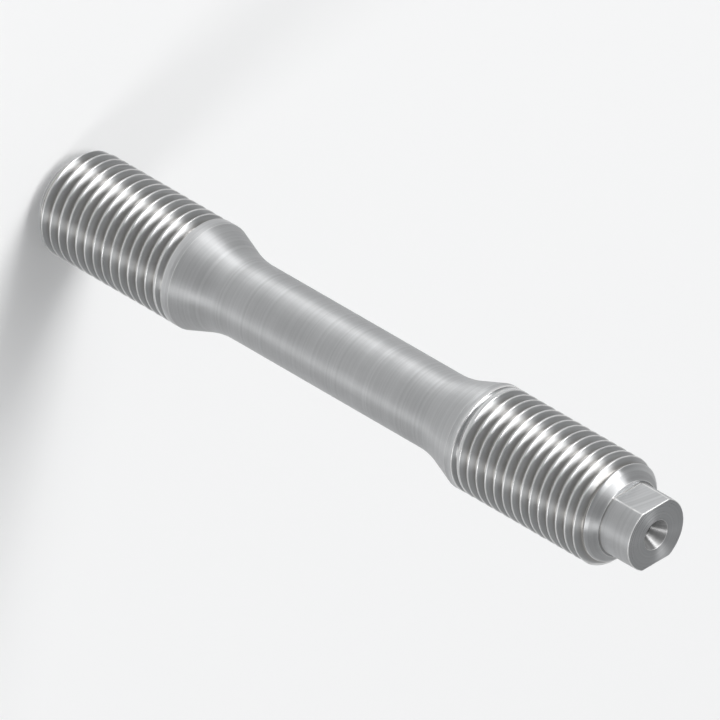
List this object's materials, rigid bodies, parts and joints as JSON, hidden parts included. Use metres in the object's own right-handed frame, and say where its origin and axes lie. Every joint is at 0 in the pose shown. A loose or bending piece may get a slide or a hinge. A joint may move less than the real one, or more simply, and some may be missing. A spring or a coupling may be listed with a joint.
{
  "type": "double ended stud",
  "caption": "Straight steel stud with a thread at each end, a thinner shank between them, and a short two-flat dog with a centre hole on one end.",
  "frame": {"origin": "middle of the plain end's face, which the stud stands on", "axes": "+Z along the stud's axis towards the end with the dog, the dog's two flats facing +Y and -Y, +X across them"},
  "size_m": [0.012, 0.012, 0.084],
  "materials": {
    "stud_steel": "bright turned steel, fine lathe marks round the shank, tapers and end faces, milled flats on the dog, cut threads"
  },
  "bodies": {
    "root": {"stud": "stud_steel"}
  },
  "joints": []
}
